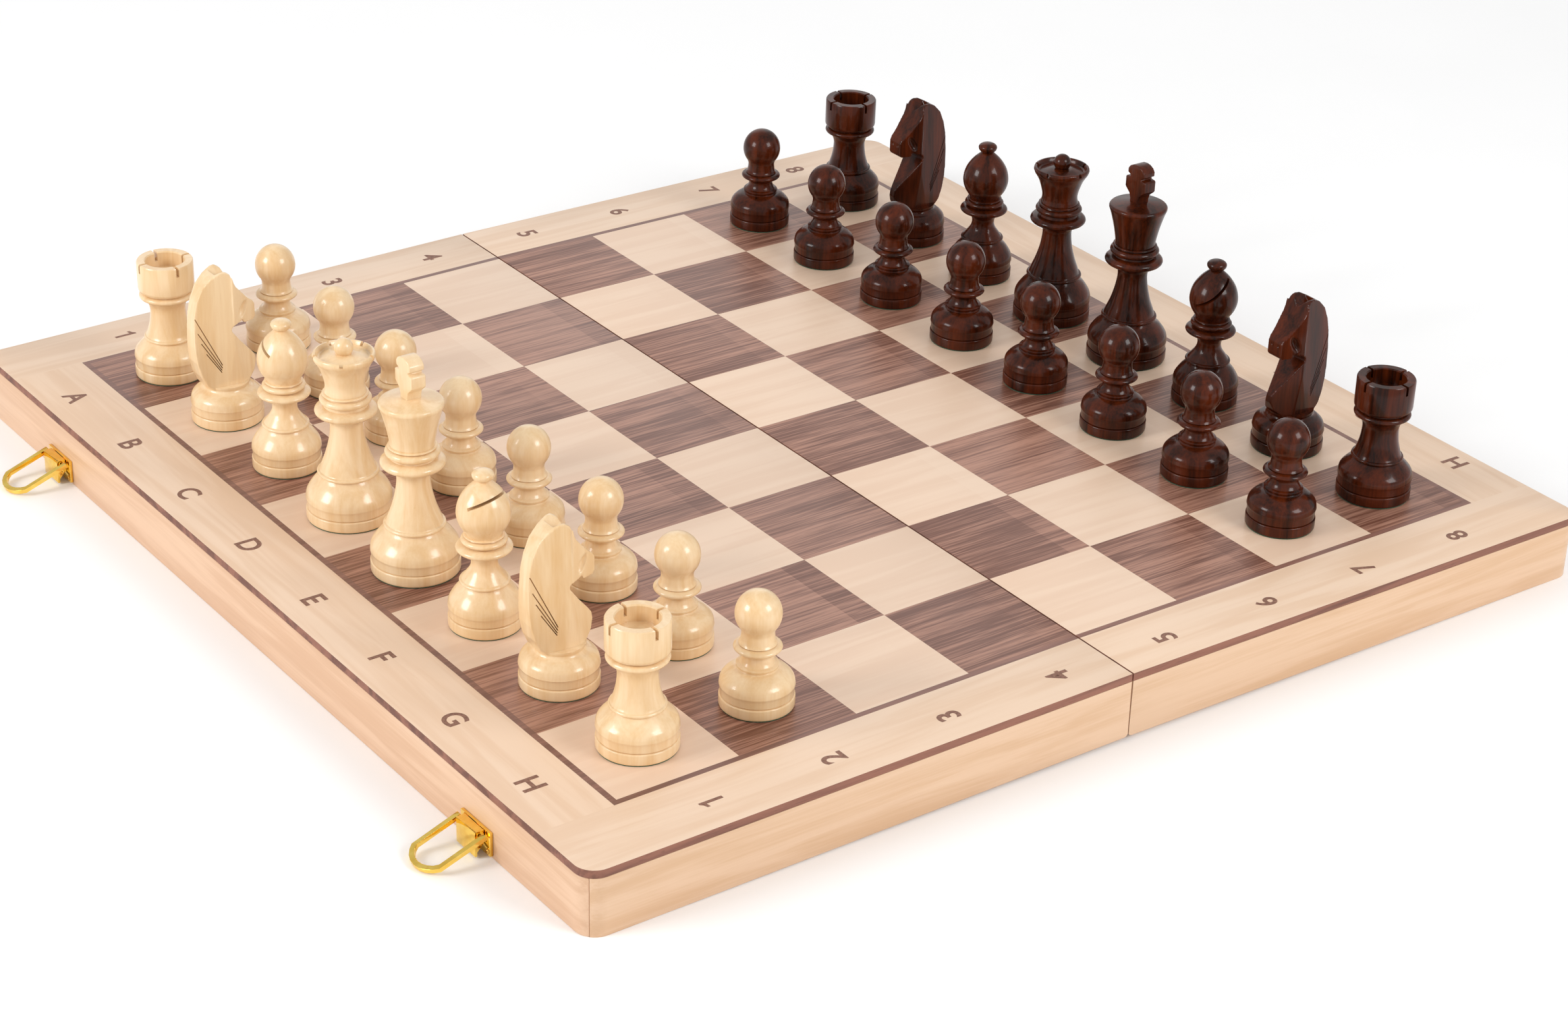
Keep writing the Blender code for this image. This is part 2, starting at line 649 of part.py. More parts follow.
def rook():
    profile = foot("rook")
    flange_r, flange_z = ROOK_FLANGE
    waist = flange_r - 2 * BEAD_HALF
    profile += [(waist, flange_z - BEAD_HALF), ROOK_FLANGE, (flange_r - BEAD_HALF, flange_z + BEAD_HALF)]
    floor = ROOK_TOP - ROOK_BORE_DEPTH
    profile += [(ROOK_CROWN_R, flange_z + 2 * BEAD_HALF), (ROOK_CROWN_R, ROOK_TOP)]
    profile += [(ROOK_BORE_R, ROOK_TOP), (ROOK_BORE_R, floor), (0, floor)]
    body = turned("rook_body", profile)
    reach = 2 * ROOK_CROWN_R
    zs = (ROOK_TOP - CRENEL_DEPTH, ROOK_TOP + CRENEL_DEPTH)
    cut(body, block("kerf_x", (-reach, reach), (-CRENEL_W / 2, CRENEL_W / 2), zs))
    cut(body, block("kerf_y", (-CRENEL_W / 2, CRENEL_W / 2), (-reach, reach), zs))
    return frozen(body)


def pawn():
    disc_r, disc_z = PAWN_DISC
    profile = foot("pawn") + [PAWN_DISC, (PAWN_NECK_R, disc_z + BEAD_HALF)]
    profile += ball(PAWN_BALL_R, PAWN_TOP, PAWN_NECK_R)
    return frozen(turned("pawn_body", profile))


def knight():
    """Turned base under a flat-sided horse's head that faces +X."""
    profile = [(0, 0), (KNIGHT_BASE_R, 0), (KNIGHT_BASE_R, KNIGHT_BELL), KNIGHT_NECK, (0, KNIGHT_NECK[1])]
    body = turned("knight_body", profile)
    outline = [(x * MM, z * MM) for x, z in KNIGHT_HEAD]
    half = KNIGHT_HEAD_T / 2
    head = side_prism("knight_head", outline, -half, half)
    return frozen(fuse(body, head))


def square_centre(file_index, rank):
    """x and y of a square in its half's frame; ranks 1 to 4 are on the lid, 5 to 8 on the tray."""
    side = -1 if rank <= 4 else 1
    from_fold = 4 - rank if rank <= 4 else rank - 5
    x = AXIS_CLEAR + (from_fold + 0.5) * SQUARE - FOLD_KERF
    return side * x, (3.5 - file_index) * SQUARE


def make_men(halves, finishes):
    makers = {"king": king, "queen": queen, "bishop": bishop, "rook": rook, "pawn": pawn, "knight": knight}
    for colour, back, front, turn in (("white", 1, 2, 0.0), ("black", 8, 7, math.pi)):
        meshes = {kind: make() for kind, make in makers.items()}
        for index, letter in enumerate(FILES):
            for kind, rank in ((BACK_RANK[index], back), ("pawn", front)):
                name = f"{colour}_{kind}"
                if kind not in ("king", "queen"):
                    name += f"_{letter}"
                man = linked(name, meshes[kind])
                x, y = square_centre(index, rank)
                man.location = (x, y, TOP + GAP)
                man.rotation_euler.z = turn
                finish(man, halves[colour], finishes[colour])


def main():
    for obj in list(bpy.data.objects):
        bpy.data.objects.remove(obj)
    veneer = material("board_veneer", (0.72, 0.56, 0.42), 0.45)
    maple = material("rail_wood", (0.78, 0.55, 0.34), 0.45)
    boxwood = material("white_wood", (0.85, 0.66, 0.42), 0.3)
    stained = material("black_wood", (0.12, 0.03, 0.015), 0.25)
    brass = material("gilt_metal", (0.85, 0.62, 0.28), 0.2, 1.0)
    dark_metal = material("hinge_metal", (0.03, 0.03, 0.03), 0.4, 0.6)
    foam = material("black_foam", (0.015, 0.015, 0.016), 0.95)
    lining = material("black_lining", (0.02, 0.02, 0.022), 0.9)
    lid = linked("lid_frame", None)
    tray = linked("tray_frame", None)
    for empty, angle in ((lid, -DROOP), (tray, DROOP)):
        empty.location = (FOLD_X, 0, BARREL_R)
        empty.rotation_euler.y = angle
    make_half("lid", -1, lid, maple, veneer)
    make_half("tray", 1, tray, maple, veneer)
    make_lining(lid, lining)
    make_foam(tray, foam)
    make_hinges(lid, tray, dark_metal)
    make_latches(lid, brass)
    make_catches(tray, brass)
    make_men({"white": lid, "black": tray}, {"white": boxwood, "black": stained})


main()
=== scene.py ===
"""Looks of a folding wooden chess set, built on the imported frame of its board, hinges, latches and men."""

import json
import math

import bpy
from mathutils import Euler, Matrix, Vector


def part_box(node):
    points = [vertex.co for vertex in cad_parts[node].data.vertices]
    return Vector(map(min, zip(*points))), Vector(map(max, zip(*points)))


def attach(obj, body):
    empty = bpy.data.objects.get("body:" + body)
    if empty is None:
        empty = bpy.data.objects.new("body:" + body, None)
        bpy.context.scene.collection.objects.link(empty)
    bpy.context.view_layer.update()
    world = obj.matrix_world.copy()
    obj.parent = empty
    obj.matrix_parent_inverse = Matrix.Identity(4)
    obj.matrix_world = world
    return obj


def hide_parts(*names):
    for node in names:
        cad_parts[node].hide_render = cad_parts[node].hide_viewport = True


MM = 0.001

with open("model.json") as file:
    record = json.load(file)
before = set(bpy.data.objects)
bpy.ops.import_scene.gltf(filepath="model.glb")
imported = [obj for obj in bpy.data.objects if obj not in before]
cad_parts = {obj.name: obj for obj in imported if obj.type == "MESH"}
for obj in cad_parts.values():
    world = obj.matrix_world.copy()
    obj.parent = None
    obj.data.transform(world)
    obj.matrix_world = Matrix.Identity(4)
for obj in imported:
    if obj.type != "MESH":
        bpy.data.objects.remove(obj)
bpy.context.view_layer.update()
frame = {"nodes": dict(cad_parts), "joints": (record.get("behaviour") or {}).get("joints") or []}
nodes = frame["nodes"]

# The set's own measures, in metres
SQUARE = 55.0 * MM
BORDER = 35.9 * MM
FOLD_KERF = 1.1 * MM
LINE_W = 2.75 * MM
PANEL_T = 3.5 * MM
RAIL_W = 14.0 * MM
GAP = 0.3 * MM
CORNER_R = 8.8 * MM

fold = next(j for j in frame["joints"] if j["name"] == "fold")
FOLD = Vector(fold["pos_m"])
DROOP = math.radians(-fold["range_deg"][0] / 2)
WIDTH = (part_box("lid_panel")[1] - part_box("lid_panel")[0]).y
HALF = 4 * SQUARE + BORDER - FOLD_KERF
AXIS_CLEAR = GAP / 2
FACE = AXIS_CLEAR + HALF
HINGE_INSET = 70.0 * MM
FLANK_TAPER = math.radians(11)
TOP = AXIS_CLEAR + 28.9 * MM
UNDER = TOP - PANEL_T
SIDES = {"lid": -1, "tray": 1}


def placed(half):
    """From a half's flat frame, with its origin on the fold axis, to where the half lies."""
    return Matrix.Translation(FOLD) @ Matrix.Rotation(SIDES[half] * DROOP, 4, "Y")


# ---- modelling helpers ----

def only(*objects):
    """Deselects everything, then selects these, the first one active."""
    if bpy.context.mode != "OBJECT":
        bpy.ops.object.mode_set(mode="OBJECT")
    bpy.ops.object.select_all(action="DESELECT")
    for obj in objects:
        obj.select_set(True)
    bpy.context.view_layer.objects.active = objects[0]
    return objects[0]


def editing(obj):
    only(obj)
    bpy.ops.object.mode_set(mode="EDIT")
    bpy.ops.mesh.select_all(action="SELECT")


def done(obj=None):
    if bpy.context.mode != "OBJECT":
        bpy.ops.object.mode_set(mode="OBJECT")
    return obj


def choose_faces(obj, test):
    """Selects, in edit mode, the faces whose middle passes the test."""
    bpy.ops.mesh.select_mode(type="FACE")
    bpy.ops.mesh.select_all(action="DESELECT")
    bpy.ops.object.mode_set(mode="OBJECT")
    for face in obj.data.polygons:
        face.select = test(face.center)
    bpy.ops.object.mode_set(mode="EDIT")


def apply_modifier(obj, kind, **settings):
    only(obj)
    modifier = obj.modifiers.new(kind.lower(), kind)
    for key, value in settings.items():
        setattr(modifier, key, value)
    bpy.ops.object.modifier_apply(modifier=modifier.name)
    return obj


def carve(obj, tool, operation="DIFFERENCE"):
    apply_modifier(obj, "BOOLEAN", object=tool, operation=operation, solver="EXACT")
    bpy.data.objects.remove(tool)
    return obj


def block(name, low, high):
    low, high = Vector(low), Vector(high)
    bpy.ops.mesh.primitive_cube_add(size=1, location=(low + high) / 2)
    obj = bpy.context.object
    obj.scale = high - low
    return settled(obj, name)


def settled(obj, name=None):
    """Puts the object's place, turn and size into its mesh."""
    only(obj)
    bpy.ops.object.transform_apply(location=True, rotation=True, scale=True)
    if name:
        obj.name = name
    return obj


def smooth(obj, degrees=35):
    only(obj)
    bpy.ops.object.shade_smooth_by_angle(angle=math.radians(degrees))
    return obj


def moved(obj, matrix):
    obj.data.transform(matrix)
    return obj


def twin(obj, name, matrix=None):
    """A copy with its own mesh, moved by the matrix."""
    copy = obj.copy()
    copy.data = obj.data.copy()
    copy.name = name
    bpy.context.scene.collection.objects.link(copy)
    return moved(copy, matrix) if matrix else copy


def joined(name, *objects):
    only(*objects)
    bpy.ops.object.join()
    obj = bpy.context.object
    obj.name = name
    return obj


def painted(obj, *finishes):
    obj.data.materials.clear()
    for finish in finishes:
        obj.data.materials.append(finish)
    return obj


# ---- finishes ----

class Value:
    """A shader socket whose arithmetic adds Math nodes to its finish."""

    def __init__(self, finish, socket):
        self.finish = finish
        self.socket = socket

    def _math(self, operation, first, second):
        return self.finish.node("Math", {"operation": operation}, {0: first, 1: second})

    def __add__(self, other):
        return self._math("ADD", self, other)

    def __radd__(self, other):
        return self._math("ADD", other, self)

    def __sub__(self, other):
        return self._math("SUBTRACT", self, other)

    def __rsub__(self, other):
        return self._math("SUBTRACT", other, self)

    def __mul__(self, other):
        return self._math("MULTIPLY", self, other)

    def __rmul__(self, other):
        return self._math("MULTIPLY", other, self)

    def band(self, low, high):
        """0 below low, 1 above high, and a smooth rise between."""
        ends = {"From Min": low, "From Max": high}
        return self.finish.node("MapRange", {"interpolation_type": "SMOOTHSTEP"}, {"Value": self, **ends})


class Finish:
    """A Principled material and the nodes that vary it."""

    def __init__(self, name, **constants):
        self.material = bpy.data.materials.new(name)
        self.material.use_nodes = True
        self.tree = self.material.node_tree
        self.shader = self.tree.nodes["Principled BSDF"]
        for key, value in constants.items():
            self.shader.inputs[key.replace("_", " ")].default_value = value

    def node(self, kind, settings=None, inputs=None, output=0):
        made = self.tree.nodes.new("ShaderNode" + kind)
        for key, value in (settings or {}).items():
            setattr(made, key, value)
        for key, value in (inputs or {}).items():
            if isinstance(value, Value):
                self.tree.links.new(value.socket, made.inputs[key])
            else:
                made.inputs[key].default_value = value
        return Value(self, made.outputs[output])

    def place(self, turn=(0, 0, 0), stretch=(1, 1, 1)):
        """The object's own coordinates, turned in degrees and then scaled."""
        origin = self.node("TexCoord", output="Object")
        turned_by = tuple(math.radians(a) for a in turn)
        spun = self.node("Mapping", {"vector_type": "POINT"}, {"Vector": origin, "Rotation": turned_by})
        return self.node("Mapping", {"vector_type": "POINT"}, {"Vector": spun, "Scale": stretch})

    def noise(self, vector, scale, detail=3.0, roughness=0.5, distortion=0.0):
        settings = {"Scale": scale, "Detail": detail, "Roughness": roughness, "Distortion": distortion}
        return self.node("TexNoise", {}, {"Vector": vector, **settings})

    def mix(self, factor, first, second, blend="MIX"):
        inputs = {0: factor, 6: first, 7: second}
        settings = {"data_type": "RGBA", "blend_type": blend}
        return self.node("Mix", settings, inputs, output=2)

    def feed(self, name, value):
        self.tree.links.new(value.socket, self.shader.inputs[name])

    def bump(self, height, strength, distance):
        inputs = {"Height": height, "Strength": strength, "Distance": distance}
        self.feed("Normal", self.node("Bump", {}, inputs))


def shade(red, green, blue):
    """A colour given as 0 to 255 screen values."""
    def linear(value):
        return value / 255 / 12.92 if value <= 10 else ((value / 255 + 0.055) / 1.055) ** 2.4

    return (linear(red), linear(green), linear(blue), 1.0)


def veneer(name, pale, dark, streak, along, fleck=0.0, roughness=0.42, squares=0.0):
    """Sliced wood whose grain runs along x (0) or y (90), with a tone for each square."""
    finish = Finish(name, Roughness=roughness, Coat_Weight=0.12, Coat_Roughness=0.28)
    grain = finish.place(turn=(0, 0, -along), stretch=(1.0, 14.0, 14.0))
    fine = finish.place(turn=(0, 0, -along), stretch=(1.0, 40.0, 40.0))
    broad = finish.noise(grain, 9.0, 3.0, 0.55, 0.6)
    stripes = finish.noise(fine, 26.0, 3.0, 0.6, 0.25)
    tone = broad.band(0.32, 0.68) * (1 - streak) + stripes.band(0.35, 0.68) * streak
    if squares:
        where = finish.node("TexCoord", output="Object")
        per_square = (1 / SQUARE, 1 / SQUARE, 0)
        cell = finish.node("VectorMath", {"operation": "MULTIPLY"}, {0: where, 1: per_square})
        cell = finish.node("VectorMath", {"operation": "FLOOR"}, {0: cell})
        tone = tone + (finish.node("TexWhiteNoise", {}, {"Vector": cell}) - 0.5) * squares
    colour = finish.mix(tone.band(0.0, 1.0), shade(*dark), shade(*pale))
    if fleck:
        dashes = finish.noise(finish.place(turn=(0, 0, -along), stretch=(1.0, 9.0, 9.0)), 160.0, 1.0)
        colour = finish.mix(dashes.band(0.62, 0.72) * fleck, colour, shade(*dark))
    finish.feed("Base Color", colour)
    finish.feed("Roughness", roughness + (stripes - 0.5) * 0.12)
    finish.bump(stripes, 0.25, 0.00006)
    return finish.material


def mottled(name, colour, other, roughness, scale, bump=0.1, spread=0.1, **constants):
    """One substance with a slight change of colour, gloss and height."""
    finish = Finish(name, Roughness=roughness, **constants)
    patches = finish.noise(finish.place(), scale, 4.0, 0.6)
    finish.feed("Base Color", finish.mix(patches.band(0.3, 0.7), shade(*other), shade(*colour)))
    finish.feed("Roughness", roughness + (patches - 0.5) * spread)
    finish.bump(patches, bump, 0.0001)
    return finish.material


def turned_wood(name, pale, dark, figure, roughness, coat, **more):
    """A turned blank with its grain upright, varnished."""
    finish = Finish(name, Roughness=roughness, Coat_Weight=coat, Coat_Roughness=0.12, **more)
    upright = finish.place(stretch=(1.0, 1.0, 0.12))
    broad = finish.noise(upright, 95.0, 3.0, 0.55, 1.2)
    fine = finish.noise(finish.place(stretch=(1.0, 1.0, 0.05)), 900.0, 2.0, 0.6)
    tone = broad.band(0.3, 0.7) * (1 - figure) + fine.band(0.3, 0.7) * figure
    finish.feed("Base Color", finish.mix(tone, shade(*dark), shade(*pale)))
    finish.feed("Roughness", roughness + (fine - 0.5) * 0.1)
    finish.bump(fine, 0.12, 0.00004)
    return finish.material


maple_along = veneer("maple_along_x", (231, 203, 177), (223, 191, 162), 0.12, 0, 0.1)
maple_across = veneer("maple_along_y", (231, 202, 175), (223, 190, 160), 0.12, 90, 0.1)
maple_squares = veneer("maple_squares", (232, 204, 179), (226, 195, 169), 0.12, 0, 0.06, squares=0.5)
walnut = veneer("walnut_squares", (176, 129, 108), (108, 66, 50), 0.6, 0, 0.2, 0.4, squares=0.35)
inlay = veneer("walnut_line", (142, 100, 86), (112, 76, 64), 0.5, 0, 0.0)
core_board = veneer("fibre_core", (146, 96, 77), (104, 64, 51), 0.2, 0, 0.4, 0.7)
rail_along = veneer("maple_rail_along_x", (222, 187, 155), (210, 171, 134), 0.25, 0, 0.08)
rail_across = veneer("maple_rail_along_y", (221, 184, 152), (207, 166, 132), 0.25, 90, 0.08)
burnt = mottled("burnt_lettering", (146, 106, 88), (116, 80, 65), 0.6, 900.0)
boxwood = turned_wood("boxwood", (239, 211, 170), (225, 187, 136), 0.2, 0.3, 0.4)
rosewood = turned_wood("stained_wood", (86, 33, 10), (26, 8, 3), 0.3, 0.3, 0.3, Specular_IOR_Level=0.1)
felt = mottled("green_felt", (10, 92, 56), (6, 66, 42), 0.95, 2500.0, 0.8, Sheen_Weight=0.5)
gilt = mottled("gilt", (255, 222, 118), (242, 198, 88), 0.1, 160.0, 0.04, 0.12, Metallic=1.0)
steel = mottled("screw_brass", (216, 170, 84), (180, 132, 60), 0.3, 700.0, 0.1, Metallic=1.0)
black_metal = mottled("black_lacquer", (28, 28, 30), (16, 16, 17), 0.38, 400.0, 0.1)
flock = mottled("black_flock", (26, 26, 28), (15, 15, 16), 0.95, 1800.0, 0.9, Sheen_Weight=0.3)
lining_cloth = mottled("black_felt", (30, 30, 32), (18, 18, 20), 0.92, 1500.0, 0.8, Sheen_Weight=0.3)


# ---- turned and carved men, in millimetres, standing at the origin ----

def scaled(points):
    return [tuple(value * MM for value in point) for point in points]


def quarter(start, end, upright, steps=5):
    """A quarter ellipse that sets off upright or flat; the first point is left out."""
    (r0, z0), (r1, z1) = start, end
    line = []
    for i in range(1, steps + 1):
        angle = math.pi / 2 * i / steps
        early, late = math.sin(angle), 1 - math.cos(angle)
        across, up = (late, early) if upright else (early, late)
        line.append((r0 + (r1 - r0) * across, z0 + (z1 - z0) * up))
    return line


def ring(radius, height, half, root):
    """A bead from a groove of the root's radius out to the radius and back."""
    low, middle, high = (root, height - half), (radius, height), (root, height + half)
    return [low] + quarter(low, middle, False) + quarter(middle, high, True)


def curve(*points, steps=5):
    """A smooth line through the points."""
    padded = [points[0], *points, points[-1]]
    line = [points[0]]
    for four in zip(padded, padded[1:], padded[2:], padded[3:]):
        for i in range(1, steps + 1):
            t = i / steps
            weights = (-t + 2 * t**2 - t**3, 2 - 5 * t**2 + 3 * t**3, t + 4 * t**2 - 3 * t**3, t**3 - t**2)
            line.append(tuple(sum(w * p[k] for w, p in zip(weights, four)) / 2 for k in (0, 1)))
    return line


def turn(name, profile, steps=64):
    """A closed solid spun about Z from a line of (radius, height) that starts and ends on the axis."""
    profile = scaled(profile)
    bpy.ops.mesh.primitive_plane_add(size=MM)
    obj = settled(bpy.context.object, name)
    editing(obj)
    bpy.ops.mesh.select_mode(type="VERT")
    bpy.ops.mesh.merge(type="CENTER")
    bpy.ops.transform.translate(value=(profile[0][0], 0, profile[0][1]))
    for (r0, z0), (r1, z1) in zip(profile, profile[1:]):
        bpy.ops.mesh.extrude_region_move(TRANSFORM_OT_translate={"value": (r1 - r0, 0, z1 - z0)})
    bpy.ops.mesh.select_all(action="SELECT")
    bpy.ops.mesh.spin(steps=steps, angle=math.tau, center=(0, 0, 0), axis=(0, 0, 1))
    bpy.ops.mesh.select_all(action="SELECT")
    bpy.ops.mesh.remove_doubles(threshold=MM / 1000)
    bpy.ops.mesh.normals_make_consistent(inside=False)
    return done(obj)


def plate(name, outline, half):
    """A flat outline of (x, z), extruded from -half to half along Y."""
    bpy.ops.mesh.primitive_circle_add(vertices=len(outline), fill_type="NGON")
    obj = settled(bpy.context.object, name)
    for vertex, (x, z) in zip(obj.data.vertices, outline):
        vertex.co = (x * MM, -half * MM, z * MM)
    editing(obj)
    bpy.ops.mesh.extrude_region_move(TRANSFORM_OT_translate={"value": (0, 2 * half * MM, 0)})
    bpy.ops.mesh.select_all(action="SELECT")
    bpy.ops.mesh.normals_make_consistent(inside=False)
    return done(obj)


def slab(name, low, high, turn_by=(0, 0, 0), at=(0, 0, 0)):
    """A cutter given in millimetres, turned by degrees about its own origin and put in place."""
    obj = block(name, scaled([low])[0], scaled([high])[0])
    spin = Euler([math.radians(a) for a in turn_by]).to_matrix().to_4x4()
    return moved(obj, Matrix.Translation(Vector(at) * MM) @ spin)


def base(radius, bell):
    """Plinth with a rounded edge, a fine groove, and the bell up to its widest."""
    line = [(0, 0), (radius - 0.8, 0)] + quarter((radius - 0.8, 0), (radius, 0.9), False, 3)
    line += [(radius, 4.3)] + quarter((radius, 4.3), (radius - 0.5, 4.9), True, 3)
    line += [(radius - 1.0, 5.0), (radius - 1.0, 5.2), (radius - 0.4, 5.4)]
    return line + quarter((radius - 0.4, 5.4), (radius, bell), True, 4)[:-1]


def king():
    line = base(18.6, 9.3) + curve((18.6, 9.3), (18.0, 12.4), (15.5, 16.0), (12.8, 18.5), (11.9, 19.9))
    line += ring(12.9, 20.9, 0.9, 11.9)
    line += curve((11.7, 22.0), (11.0, 24.2), (9.2, 29.0), (7.6, 35.5), (6.9, 41.3), (7.6, 44.6),
                  (9.4, 46.5))
    line += ring(13.5, 49.0, 2.3, 9.6) + ring(11.4, 53.9, 1.7, 9.3) + ring(10.2, 56.4, 0.5, 9.2)
    line += curve((9.3, 57.2), (9.6, 60.0), (10.7, 65.5), (12.3, 71.5), (13.4, 74.6))
    line += quarter((13.5, 75.0), (12.2, 76.4), True)
    line += curve((12.2, 76.4), (8.0, 77.2), (3.6, 77.9), (0, 78.1))
    body = turn("king", line)
    half = [(2.7, 75.0), (2.7, 79.2), (3.4, 81.4), (6.0, 83.6), (6.5, 84.2), (6.5, 88.9), (5.9, 89.4)]
    half += [(3.7, 89.6), (3.7, 90.4), (5.4, 91.2), (5.4, 93.2), (4.2, 94.7), (2.2, 95.7)]
    cross = plate("cross", half + [(0, 96.0)] + [(-y, z) for y, z in reversed(half)], 3.4)
    moved(cross, Matrix.Rotation(math.pi / 2, 4, "Z"))
    apply_modifier(cross, "BEVEL", width=0.5 * MM, segments=3, limit_method="ANGLE")
    return smooth(carve(body, cross, "UNION"), 40)


def queen():
    line = base(18.3, 9.3) + curve((18.3, 9.3), (17.7, 12.4), (15.3, 16.2), (12.9, 18.8), (12.0, 20.2))
    line += ring(13.1, 21.2, 0.9, 12.0)
    line += curve((11.8, 22.4), (11.1, 24.6), (9.3, 29.5), (7.6, 36.0), (6.9, 42.5), (7.6, 45.4),
                  (9.3, 47.1))
    line += ring(13.2, 49.5, 2.2, 9.4) + ring(11.0, 54.7, 1.6, 9.0) + ring(9.8, 57.3, 0.5, 8.8)
    line += curve((8.9, 58.2), (8.4, 60.6), (8.7, 63.6), (10.4, 69.0), (12.7, 73.0))
    line += quarter((13.2, 73.6), (12.6, 75.6), True, 4) + [(11.9, 75.7), (11.3, 75.0), (10.9, 73.9)]
    line += curve((10.2, 73.5), (8.2, 73.9), (5.0, 74.8), (2.5, 75.2), (2.1, 75.7))
    arch = [math.radians(-58 + 148 * i / 12) for i in range(12)]
    line += [(4.1 * math.cos(a), 77.8 + 4.1 * math.sin(a)) for a in arch[1:]] + [(0, 81.9)]
    body = turn("queen", line)
    for number in range(5):
        angle = 72 * number + 20
        carve(body, slab("nick", (9.8, -0.75, 73.9), (16, 0.75, 78), (0, 0, angle)))
    return smooth(body, 40)


def bishop(start, height, turned_by):
    """The mitre's slit is sawn outwards from a start off the axis and turned by degrees at its height."""
    line = base(15.1, 9.0) + curve((15.1, 9.0), (14.6, 11.8), (12.4, 15.4), (10.2, 17.9), (9.5, 19.1))
    line += ring(10.3, 20.0, 0.8, 9.4)
    line += curve((9.2, 21.0), (8.2, 22.4), (6.2, 25.2), (5.4, 27.8), (5.8, 30.4), (7.5, 32.8))
    line += ring(11.5, 34.9, 1.8, 7.8) + ring(9.4, 38.4, 1.3, 7.5) + ring(8.3, 40.5, 0.45, 7.3)
    line += curve((7.4, 41.3), (8.0, 42.4), (10.1, 46.0), (11.0, 50.4), (9.9, 55.6), (7.0, 60.2),
                  (3.7, 63.4), (2.5, 64.4))
    line += quarter((2.5, 64.5), (4.5, 66.7), False) + quarter((4.5, 66.7), (0, 69.0), True, 7)
    body = turn("bishop", line)
    carve(body, slab("slit", (-20, start, -0.6), (20, 20, 0.6), turned_by, (0, 0, height)))
    return smooth(body, 40)


def rook():
    line = base(16.2, 9.3) + curve((16.2, 9.3), (15.6, 12.2), (13.3, 15.0), (11.4, 16.8), (10.6, 17.6))
    line += ring(11.3, 18.4, 0.8, 10.5)
    line += curve((10.4, 19.4), (9.7, 21.0), (8.4, 26.0), (7.9, 31.5), (8.5, 34.6), (9.9, 37.0))
    line += ring(12.4, 38.9, 1.5, 10.2) + [(10.9, 40.6), (10.9, 41.1)]
    line += quarter((10.9, 41.1), (12.7, 42.9), False, 4)
    line += [(12.7, 54.9), (12.3, 55.5), (9.2, 55.5), (8.7, 55.0), (8.7, 48.6), (0, 48.6)]
    body = turn("rook", line)
    carve(body, slab("kerf", (-20, -0.68, 51.3), (20, 0.68, 60)))
    carve(body, slab("kerf", (-0.68, -20, 51.3), (0.68, 20, 60)))
    return smooth(body, 40)


def pawn():
    line = base(14.9, 9.2) + curve((14.9, 9.2), (14.3, 12.0), (12.2, 14.4), (9.8, 15.9), (8.3, 16.4))
    line += [(7.9, 16.9), (8.3, 17.3), (8.4, 18.1), (7.9, 18.6)]
    line += curve((7.2, 18.8), (6.3, 20.2), (5.8, 22.0), (6.2, 23.2)) + ring(9.6, 25.5, 1.5, 6.8)
    line += curve((7.6, 27.3), (6.9, 28.4), (6.6, 30.2), (6.5, 31.8), (6.8, 33.0))
    start = -41
    arch = [math.radians(start + (90 - start) * i / 16) for i in range(16)]
    line += [(9.25 * math.cos(a), 39.9 + 9.6 * math.sin(a)) for a in arch] + [(0, 49.5)]
    return smooth(turn("pawn", line), 40)


def shave(obj, point, normal, low, high):
    """Takes off what lies beyond a plane, within low and high of the point as seen facing the plane."""
    facing = Vector((0, 1, 0)).rotation_difference(Vector(normal)).to_matrix().to_4x4()
    cutter = slab("shaving", (low[0], 0, low[1]), (high[0], 14, high[1]))
    return carve(obj, moved(cutter, Matrix.Translation(Vector(point) * MM) @ facing))


def gouge(obj, middle, radius, stretch=(1, 1, 1), lean=0.0):
    bpy.ops.mesh.primitive_uv_sphere_add(segments=24, ring_count=16, radius=radius * MM)
    ball = settled(bpy.context.object, "gouge")
    shape = Matrix.Rotation(math.radians(lean), 4, "Y") @ Matrix.Diagonal((*stretch, 1.0))
    return carve(obj, moved(ball, Matrix.Translation(Vector(middle) * MM) @ shape))


